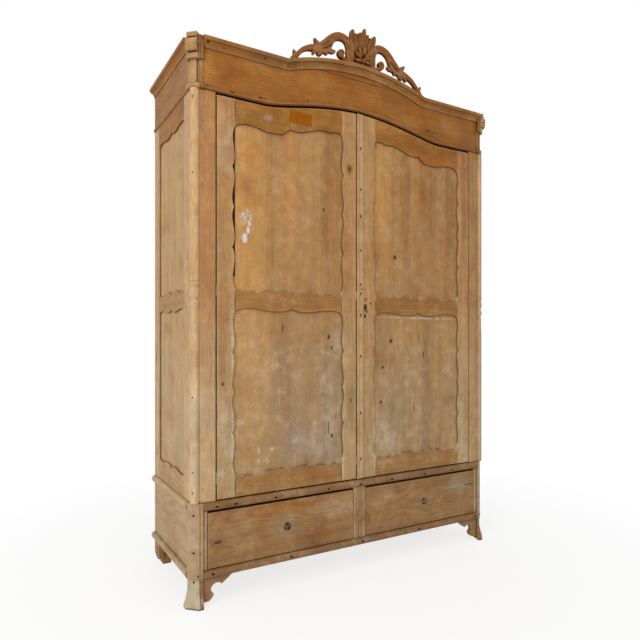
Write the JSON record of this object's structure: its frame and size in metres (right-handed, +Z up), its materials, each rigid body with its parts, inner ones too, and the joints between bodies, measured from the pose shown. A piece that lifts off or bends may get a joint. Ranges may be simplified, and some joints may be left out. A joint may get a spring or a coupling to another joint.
{
  "type": "wardrobe",
  "caption": "Antique knock-down wardrobe with two framed doors, two base drawers, canted corners with half-round columns and an arched crown with a carved crest.",
  "frame": {"origin": "middle of the footprint, on the floor", "axes": "+Z up, -Y out of the front with the doors, +X towards the door with the lock"},
  "size_m": [1.38, 0.506, 2.098],
  "materials": {
    "pine_frame": "stripped and waxed",
    "pine_panel": "stripped and waxed",
    "pine_turned": "stripped and waxed",
    "pine_inside": "bare planed",
    "iron": "dark, lightly rusted"
  },
  "bodies": {
    "carcass": {"base_side_left": "pine_frame", "base_side_right": "pine_frame", "base_corner_left": "pine_turned", "base_corner_right": "pine_turned", "base_rail": "pine_frame", "waist_rail": "pine_frame", "side_mouldings_left": "pine_frame", "side_mouldings_right": "pine_frame", "base_stiles": "pine_frame", "base_back": "pine_inside", "base_bottom": "pine_inside", "drawer_runners": "pine_inside", "foot_corner_left": "pine_turned", "foot_corner_right": "pine_turned", "foot_brackets_left": "pine_frame", "foot_brackets_right": "pine_frame", "rear_foot_left": "pine_frame", "rear_foot_right": "pine_frame", "front_stile_left": "pine_frame", "front_stile_right": "pine_frame", "side_frame_left": "pine_frame", "side_frame_right": "pine_frame", "side_panels_left": "pine_panel", "side_panels_right": "pine_panel", "column_left": "pine_turned", "column_right": "pine_turned", "back_boards": "pine_inside", "floor_board": "pine_inside", "door_stop": "pine_inside", "hat_shelf": "pine_inside", "shelf_cleats": "pine_inside", "hanging_rail": "pine_inside", "frieze_board": "pine_frame", "frieze_arch": "pine_frame", "crown_sides": "pine_frame", "cornice_front": "pine_frame", "cornice_arch": "pine_frame", "cornice_sides": "pine_frame", "corner_capital_left": "pine_turned", "corner_capital_right": "pine_turned", "top_board": "pine_inside", "crest_scrolls": "pine_frame", "crest_palmette": "pine_frame"},
    "left_door": {"left_door_stiles": "pine_frame", "left_door_rails": "pine_frame", "left_door_panels": "pine_panel", "left_door_pivots": "iron", "slide_bolt_guide": "iron"},
    "right_door": {"right_door_stiles": "pine_frame", "right_door_rails": "pine_frame", "right_door_panels": "pine_panel", "right_door_pivots": "iron", "cover_strip": "pine_frame", "lock_case": "iron"},
    "lock_bolt": {"lock_bolt": "iron"},
    "slide_bolt": {"slide_bolt": "iron"},
    "left_drawer": {"left_drawer_front": "pine_panel", "left_drawer_box": "pine_inside"},
    "right_drawer": {"right_drawer_front": "pine_panel", "right_drawer_box": "pine_inside"}
  },
  "joints": [
    {"name": "left_door_hinge", "type": "hinge", "parent": "carcass", "child": "left_door", "pos_m": [-0.55799, -0.22, 1.04], "axis": [0, 0, -1], "range_deg": [0, 110]},
    {"name": "right_door_hinge", "type": "hinge", "parent": "carcass", "child": "right_door", "pos_m": [0.55799, -0.22, 1.04], "axis": [0, 0, 1], "range_deg": [0, 110]},
    {"name": "left_drawer_slide", "type": "slide", "parent": "carcass", "child": "left_drawer", "axis": [0, -1, 0], "range_m": [0, 0.32]},
    {"name": "right_drawer_slide", "type": "slide", "parent": "carcass", "child": "right_drawer", "axis": [0, -1, 0], "range_m": [0, 0.32]},
    {"name": "lock_bolt_slide", "type": "slide", "parent": "right_door", "child": "lock_bolt", "axis": [-1, 0, 0], "range_m": [0, 0.012]},
    {"name": "slide_bolt_slide", "type": "slide", "parent": "left_door", "child": "slide_bolt", "axis": [0, 0, 1], "range_m": [0, 0.018]}
  ]
}
